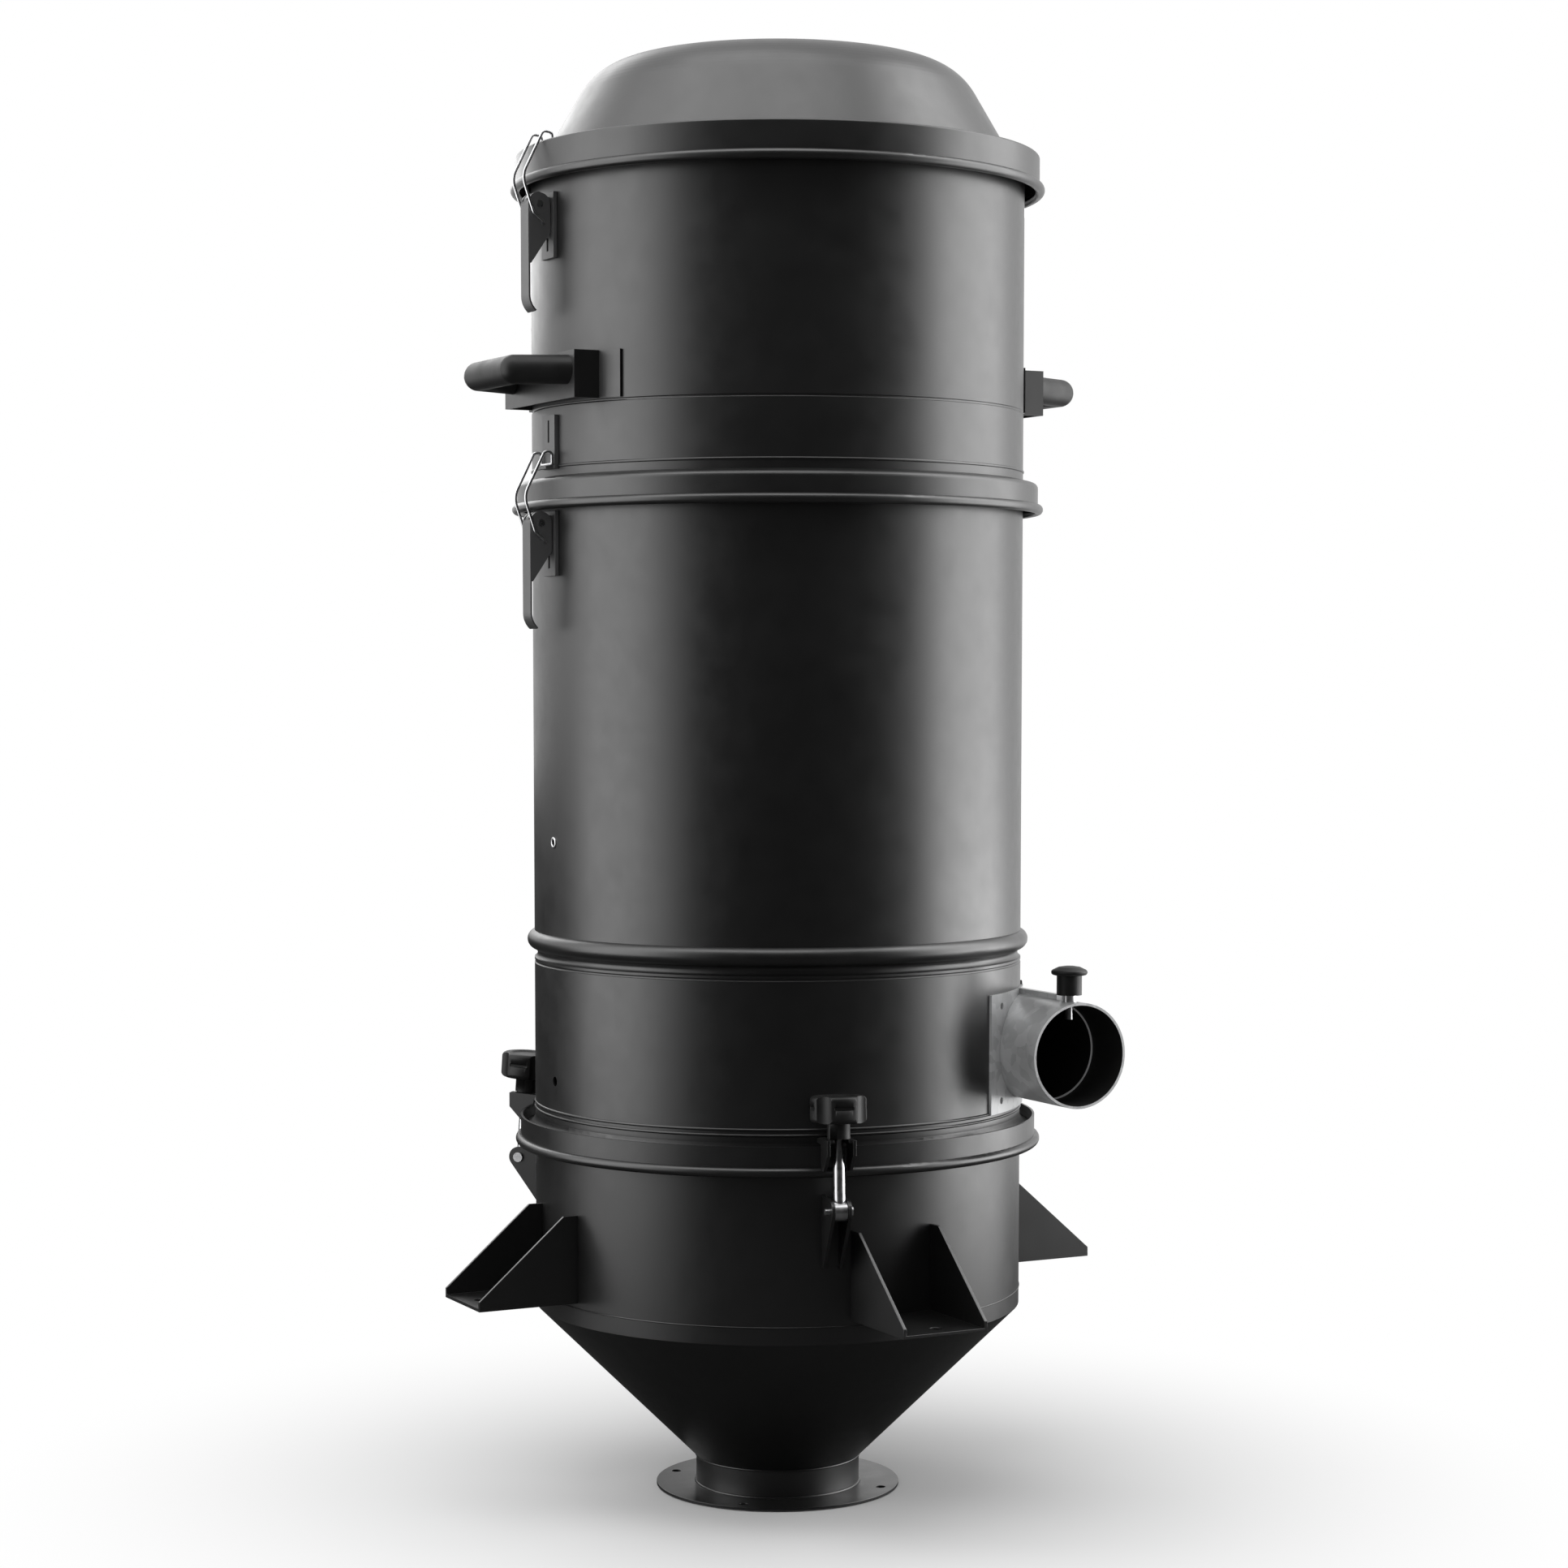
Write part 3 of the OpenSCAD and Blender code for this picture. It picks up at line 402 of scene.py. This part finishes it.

# %% [markdown]
# ## Who wears what
# Every solid names the material slot it belongs to, so most finishes can be handed out
# in one loop. Two kinds stand apart: the tube, for the shade painted in its bore, and the
# latches, for their lighter coat that holds painted light.
# Handing them out one at a time would also work, but a solid could be forgotten.

# %% Give every solid its finish
finishes = {
    "body_paint": body_paint, "lid_paint": lid_paint, "bright_steel": bright_steel,
    "galvanised": galvanised, "knob_plastic": knob_plastic, "gasket": gasket_rubber,
}
own_finish = {"inlet_tube": galvanised_tube}
for name in frame["nodes"]:
    # the latches take the lighter coat, which holds painted light
    if name.startswith(("latch_", "lever_")) and name != "latch_pins":
        own_finish[name] = latch_paint
for part in frame["record"]["subparts"]:
    solid = frame["nodes"][part["node"]]
    finish = own_finish.get(part["node"]) or finishes[part["material_slot"]]
    for place in solid.material_slots:
        place.material = finish
print("finished", len(frame["nodes"]), "solids with", len(finishes) + 2, "finishes")

# %% [markdown]
# ## Eased edges
# Sheet parts are cut by laser, tumbled and sprayed, so no edge on the real machine is
# razor sharp: each is rounded by about a third of a millimetre and shows as a thin line
# of light. The solids have sharp edges. A copy of each sheet part is merged, its flat
# faces are joined again, and a Bevel modifier rounds every edge that is sharper than
# 40 degrees. A bevel node in the finish would be cheaper, but it would be lost on export.
# The rolled rings and the curved plate of the inlet stay as they are: easing left
# streaks in the shading of such long curved faces.

# %% Round the cut edges of the sheet parts
bodies = frame["record"]["behaviour"]["bodies"]


def body_of(solid_name):
    return next(body for body, members in bodies.items() if solid_name in members)


EASED_WIDTH = 0.00035
FLAT_WITHIN = math.radians(0.6)
SHARP_FROM = math.radians(40)


def own_copy(solid_name, name):
    """A merged copy of a solid with its flat faces joined again, selected and active."""
    piece = bpy.data.objects.new(name, frame["nodes"][solid_name].data.copy())
    piece.data.name = name
    bpy.context.scene.collection.objects.link(piece)
    clear_selection()
    piece.select_set(True)
    bpy.context.view_layer.objects.active = piece
    bpy.ops.object.mode_set(mode="EDIT")
    close_edit(30)
    bpy.ops.object.mode_set(mode="EDIT")
    bpy.ops.mesh.select_all(action="SELECT")
    bpy.ops.mesh.dissolve_limited(angle_limit=FLAT_WITHIN)
    bpy.ops.object.mode_set(mode="OBJECT")
    return piece


def even_shading(piece):
    """Lets the large faces rule the shading, so that slivers beside them leave no streaks."""
    weights = piece.modifiers.new("even_shading", "WEIGHTED_NORMAL")
    weights.keep_sharp = True
    bpy.ops.object.modifier_apply(modifier="even_shading")


def eased(solid_name, width):
    piece = own_copy(solid_name, solid_name + "_eased")
    round_off = piece.modifiers.new("round_off", "BEVEL")
    round_off.width, round_off.segments = width, 2
    round_off.limit_method, round_off.angle_limit = "ANGLE", SHARP_FROM
    bpy.ops.object.modifier_apply(modifier="round_off")
    bpy.ops.object.mode_set(mode="EDIT")
    close_edit(40)
    even_shading(piece)
    settle(piece, HERE, body_of(solid_name))
    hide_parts(solid_name)
    return piece


SHEET_PARTS = ["foot_front", "foot_right", "foot_back", "foot_left", "outlet_flange",
               "handle_brackets", "latch_bases", "latch_keepers", "bolt_forks", "bolt_clevises"]
SHEET_PARTS += [name for name in frame["nodes"] if name.startswith("lever_")]
for sheet_part in SHEET_PARTS:
    piece = eased(sheet_part, EASED_WIDTH)
    print(piece.name, "faces", len(piece.data.polygons))

# %% [markdown]
# ## The swing bolts' knobs
# Each knob is a four-lobed head with a hollow pressed into every lobe, which saves
# plastic and gives the fingers an edge to push. The solid has the lobes, and a merged
# copy of it gets the hollows: rounded bars are taken away with a Boolean modifier.
# Building the lobes again would risk a head that no longer fits the solid.

# %% Cut the hollows in one knob's own frame
HEAD_HEIGHT = 0.024
HOLLOW_RISE = 0.0015
HOLLOW_BAR = (0.0046, 0.0185, 0.0036)
HOLLOW_ROUND = 0.0012


def hollow_cutters(head_r, head_top):
    """Four flat rounded bars round the head, as one object, standing on the knob's axis."""
    middle = (head_top - HEAD_HEIGHT + head_top) / 2 + HOLLOW_RISE
    bpy.ops.mesh.primitive_cube_add(size=1, location=(head_r, 0, middle), scale=HOLLOW_BAR)
    cutter = named_piece("hollow_cutter")
    bpy.ops.object.mode_set(mode="EDIT")
    bpy.ops.mesh.bevel(offset=HOLLOW_ROUND, segments=3, affect="EDGES")
    bpy.ops.mesh.select_all(action="SELECT")
    bpy.ops.object.mode_set(mode="OBJECT")
    bpy.ops.object.transform_apply(location=True, rotation=True, scale=True)
    whole = cutter.data
    clear_selection()
    bars = [cutter]
    for quarter in (1, 2, 3):
        bar = bpy.data.objects.new("hollow_cutter_%d" % quarter, whole.copy())
        bar.data.transform(Matrix.Rotation(quarter * math.pi / 2, 4, "Z"))
        bpy.context.scene.collection.objects.link(bar)
        bars.append(bar)
    for bar in bars:
        bar.select_set(True)
    bpy.context.view_layer.objects.active = cutter
    bpy.ops.object.join()
    return cutter


print("cutters ready")

# %% Make the three dressed knobs
def knob_axis(name):
    joint = joints["bolt_knob_%s_slide" % name]
    along = Vector(joint["axis"]).normalized()
    up = Vector((0, 0, 1))
    out = Vector((joint["pos_m"][0], joint["pos_m"][1], 0)).normalized()
    side = up.cross(out).normalized()
    across = side.cross(along).normalized()
    place = Matrix((across, side, along)).transposed().to_4x4()
    place.translation = Vector(joint["pos_m"])
    return place


def dressed_knob(name):
    solid = frame["nodes"]["bolt_knob_" + name]
    place = knob_axis(name)
    local = [place.inverted() @ vertex.co for vertex in solid.data.vertices]
    top = max(point.z for point in local)
    head_r = max(math.hypot(point.x, point.y) for point in local)
    cutter = hollow_cutters(head_r, top)
    cutter.data.transform(place)
    knob = own_copy("bolt_knob_" + name, "knob_head_" + name)
    modifier = knob.modifiers.new("hollows", "BOOLEAN")
    modifier.operation = "DIFFERENCE"
    modifier.object = cutter
    bpy.ops.object.modifier_apply(modifier="hollows")
    bpy.data.objects.remove(cutter)
    bpy.ops.object.shade_smooth_by_angle(angle=math.radians(30))
    even_shading(knob)
    knob.data.materials.clear()
    knob.data.materials.append(knob_plastic)
    settle(knob, HERE, "bolt_knob_" + name)
    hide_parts("bolt_knob_" + name)
    print(knob.name, "radius", round(head_r, 4), "faces", len(knob.data.polygons))


for name in ("front", "right", "left"):
    dressed_knob(name)

# %% [markdown]
# ## Weld beads
# The cone's collar, the outlet neck and the dome's foot are welded all round. Under the
# powder a weld is a low bead. It could be swept along a curve, but these joints are all
# true circles, so a thin torus half sunk in each joint does it.

# %% Lay a round weld bead
def weld_ring(name, radius, height, size, finish):
    clear_selection()
    bpy.ops.mesh.primitive_torus_add(
        major_radius=radius, minor_radius=size, major_segments=288, minor_segments=8,
        location=(0, 0, height),
    )
    bead = named_piece(name)
    bpy.ops.object.transform_apply(location=True, rotation=True, scale=True)
    bpy.ops.object.mode_set(mode="EDIT")
    close_edit(60)
    bead.data.materials.append(finish)
    return settle(bead, HERE, TOWER)


cone_low, cone_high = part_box("hopper_cone")
neck_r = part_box("outlet_neck")[1].x
flange_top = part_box("outlet_flange")[1].z
dome_low, dome_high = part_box("lid_dome")
WELD_OUT = 0.0002
# after its name, each bead has the joint's radius, its height and half the bead's width
weld_ring("collar_weld", wall_r - 0.0001, cone_high.z, 0.0007, body_paint)
weld_ring("neck_top_weld", neck_r, cone_low.z, 0.0011, body_paint)
weld_ring("neck_foot_weld", neck_r + WELD_OUT, flange_top + WELD_OUT, 0.0014,
          body_paint)
weld_ring("dome_weld", dome_high.x + WELD_OUT, dome_low.z + WELD_OUT, 0.0009,
          lid_paint)
print("laid 4 weld rings")

# %% [markdown]
# ## The shells' small fittings
# A small black plug closes a test hole beside the inlet, and the middle shell's two holes
# hold rivet nuts, whose rolled flange shows as a bright ring. The plug is a short disc
# whose face is inset and pressed up into a crown. The flange is a torus pressed flat.

# %% Press the plug and the rivet nuts in
PLUG_SINK = 0.0004
PLUG_CROWN = ((0.28, 0.3), (0.35, 0.08))  # each inset by radius, each rise by height
FLANGE_HALF, FLANGE_FLATTEN, FLANGE_PROUD = 0.0013, 0.6, 0.0003


def plug(name, bearing, height, radius, proud):
    clear_selection()
    bpy.ops.mesh.primitive_cylinder_add(vertices=40, radius=radius, depth=2 * proud)
    piece = named_piece(name)
    pick_faces(piece, lambda centre, normal: normal.z > 0.9)
    for inset, rise in PLUG_CROWN:
        bpy.ops.mesh.inset(thickness=inset * radius)
        bpy.ops.transform.translate(value=(0, 0, rise * proud))
    close_edit(50)
    piece.data.materials.append(knob_plastic)
    return settle(piece, on_wall(bearing, wall_r - PLUG_SINK, height), TOWER)


def rivet_nut(name, bearing, height, hole_r):
    clear_selection()
    bpy.ops.mesh.primitive_torus_add(
        major_radius=hole_r, minor_radius=FLANGE_HALF, major_segments=48, minor_segments=12
    )
    piece = named_piece(name)
    bpy.ops.object.mode_set(mode="EDIT")
    bpy.ops.transform.resize(value=(1, 1, FLANGE_FLATTEN))
    close_edit(60)
    piece.data.materials.append(bright_steel)
    return settle(piece, on_wall(bearing, wall_r + FLANGE_PROUD, height), TOWER)


TEST_PLUG_HEIGHT = 0.482
RIVET_NUT_HEIGHT = 0.62
plug("test_plug", 61, TEST_PLUG_HEIGHT, 0.003, 0.0018)
for side, bearing in (("right", 90), ("left", -90)):
    rivet_nut("rivet_nut_" + side, bearing, RIVET_NUT_HEIGHT, 0.0040)
print("pressed in a plug and 2 rivet nuts")

# %% [markdown]
# ## The studio
# The light follows the way that studios show satin black. The body mirrors two
# tall soft boxes, a gentle one on the camera's left and a strong one on its right, and
# a smaller rim box behind draws the left edge. Black cloth hung before the machine
# keeps its middle dark. Grey cloth on the floor and low behind on the left stops the white
# room from shining in the cone and the feet. A box above lights the dome. Satin black
# needs strong boxes on the right to mirror, but they would burn out the bare zinc. So
# those two only light by reflection, and two mild fill boxes that aren't mirrored give
# the pale parts a plain level.

# %% Hang the soft boxes
def soft_box(name, bearing, distance, height, width, tall, radiance, aim_height):
    data = bpy.data.lights.new(name, "AREA")
    data.shape = "RECTANGLE"
    data.size, data.size_y = width, tall
    data.energy = radiance * math.pi * width * tall
    lamp = bpy.data.objects.new(name, data)
    lamp.location = outward(CAMERA_BEARING + bearing) * distance + Vector((0, 0, height))
    aim = Vector((0, 0, aim_height)) - lamp.location
    lamp.rotation_euler = aim.to_track_quat("-Z", "Y").to_euler()
    bpy.context.scene.collection.objects.link(lamp)
    return lamp


# the numbers are the bearing from the camera, distance, height, width, tall, radiance
# (1 is white) and the height that the box is aimed at
mirrored = [soft_box("soft_box_right", 97, 1.9, 1.5, 1.7, 4.6, 3.0, 1.3),
            soft_box("soft_box_right_low", 100, 1.3, 0.25, 1.1, 0.6, 1.2, 0.3)]
soft_box("soft_box_left", -77, 1.9, 1.5, 1.5, 4.0, 1.5, 1.2)
soft_box("soft_box_rim", -150, 2.6, 2.2, 1.5, 1.8, 2.4, 1.3)
soft_box("soft_box_top", -20, 0.6, 2.9, 2.0, 1.6, 1.6, 1.2)
fills = [soft_box("fill_box_front", -8, 2.6, 1.6, 2.6, 2.6, 1.3, 0.8),
         soft_box("fill_box_right", 85, 2.4, 1.6, 2.2, 2.6, 1.3, 0.8)]
for lamp in mirrored:
    lamp.visible_diffuse = False
for lamp in fills:
    lamp.visible_glossy = False

# %% [markdown]
# ## Dark cloths
# A shiny black machine shows whatever stands round it, so studios hang black cloth
# where it should stay dark. Here one cloth hangs in front, one stands low behind on the
# left, and one lies on the floor. Only reflections see them, so the floor stays pale. Painting
# the machine darker wouldn't do: the cloth darkens some sides and leaves the others.

# %% Hang the dark cloths that only reflections see
CLOTH_LIFT = 0.001


def dark_cloth(name, bearing, spread, distance, foot, high, shade):
    """A cloth that hangs round a part of the room and runs in over the floor to its foot."""
    clear_selection()
    bpy.ops.mesh.primitive_plane_add(size=1)
    cloth = named_piece(name)
    bpy.ops.object.mode_set(mode="EDIT")
    bpy.ops.mesh.subdivide(number_cuts=31)
    bpy.ops.object.mode_set(mode="OBJECT")
    run = distance - foot + high
    for vertex in cloth.data.vertices:
        along = (vertex.co.y + 0.5) * run
        if along < distance - foot:
            reach, height = foot + along, CLOTH_LIFT
        else:
            reach, height = distance, along - distance + foot
        out = outward(CAMERA_BEARING + bearing + vertex.co.x * spread)
        vertex.co = out * reach + Vector((0, 0, height))
    finish, tree, shader = start_finish(name)
    shader.inputs["Base Color"].default_value = (shade, shade, shade, 1)
    shader.inputs["Roughness"].default_value = 1.0
    cloth.data.materials.append(finish)
    cloth.visible_camera = cloth.visible_diffuse = cloth.visible_shadow = False
    cloth.visible_transmission = cloth.visible_volume_scatter = False
    cloth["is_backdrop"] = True
    return cloth


dark_cloth("black_cloth_front", 10, 104, 1.8, 1.79, 3.0, 0.004)
dark_cloth("grey_cloth_left", -138, 76, 1.8, 1.79, 0.62, 0.02)
dark_cloth("grey_cloth_floor", 0, 359, 2.0, 0.1, 0.001, 0.03)
print("dark cloths hung")

# %% [markdown]
# ## Floor and room
# The floor is matte and pale close to the machine, where it keeps a soft shadow, and
# turns plain white further out. That white only shows to the camera and in reflections,
# so it adds no soft light. A studio would curve paper up behind the machine, but then
# every view from behind would need its own sheet. The world does the same from all sides.

# %% Lay the pale floor
FLOOR_RADIUS, FLOOR_RING, FLOOR_DROP = 9, 7, 0.0005
SHADOW_TO, WHITE_FROM = 0.12, 0.8


def seen_directly(tree):
    """1 for what the camera sees, also by way of gloss or glass, and 0 for soft light."""
    rays = node(tree, "LightPath")
    seen = maths(tree, "MAXIMUM", rays["Is Camera Ray"], rays["Is Glossy Ray"])
    seen = maths(tree, "MAXIMUM", seen, rays["Is Transmission Ray"])
    return seen


clear_selection()
bpy.ops.mesh.primitive_circle_add(
    vertices=96, radius=FLOOR_RADIUS, fill_type="NGON", location=(0, 0, -FLOOR_DROP)
)
floor = named_piece("studio_floor")
bpy.ops.object.mode_set(mode="EDIT")
bpy.ops.mesh.inset(thickness=FLOOR_RING)
bpy.ops.object.mode_set(mode="OBJECT")
floor_finish = bpy.data.materials.new("studio_floor")
floor_finish.use_nodes = True
tree = floor_finish.node_tree
tree.nodes.clear()
place = object_place(tree)
away = node(tree, "VectorMath", links={0: place}, operation="LENGTH")["Value"]
span = {"From Min": SHADOW_TO, "From Max": WHITE_FROM, "To Min": 0.0, "To Max": 1.0}
fade = node(tree, "MapRange", span, {"Value": away}, interpolation_type="SMOOTHSTEP")["Result"]
share = maths(tree, "MULTIPLY", fade, seen_directly(tree))
matte = node(tree, "BsdfDiffuse", {"Color": (0.8, 0.8, 0.8, 1)})["BSDF"]
white = node(tree, "Emission", {"Color": (1, 1, 1, 1), "Strength": 1.0})["Emission"]
surface = node(tree, "MixShader", links={0: share, 1: matte, 2: white})["Shader"]
output = tree.nodes.new("ShaderNodeOutputMaterial")
tree.links.new(surface, output.inputs["Surface"])
floor.data.materials.append(floor_finish)
floor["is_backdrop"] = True
print("floor laid")

# %% Light the room
world = bpy.data.worlds.new("studio")
bpy.context.scene.world = world
world.use_nodes = True
tree = world.node_tree
tree.nodes.clear()
dim = node(tree, "Background", {"Color": (0.9, 0.9, 0.9, 1), "Strength": 0.45})["Background"]
white = node(tree, "Background", {"Color": (1, 1, 1, 1), "Strength": 1.0})["Background"]
room = node(tree, "MixShader", links={0: seen_directly(tree), 1: dim, 2: white})["Shader"]
output = tree.nodes.new("ShaderNodeOutputWorld")
tree.links.new(room, output.inputs["Surface"])
print("room lit")

# %% [markdown]
# ## Measure the dressed machine
# The dressing must not grow the machine, so both boxes are written down and compared.

# %% Write the sizes and finish
clear_selection()
dressed_low, dressed_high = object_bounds()
growth = [round(1000 * (a - b), 2) for a, b in zip(dressed_high, solids_high)]
print("the dressing adds", growth, "mm")
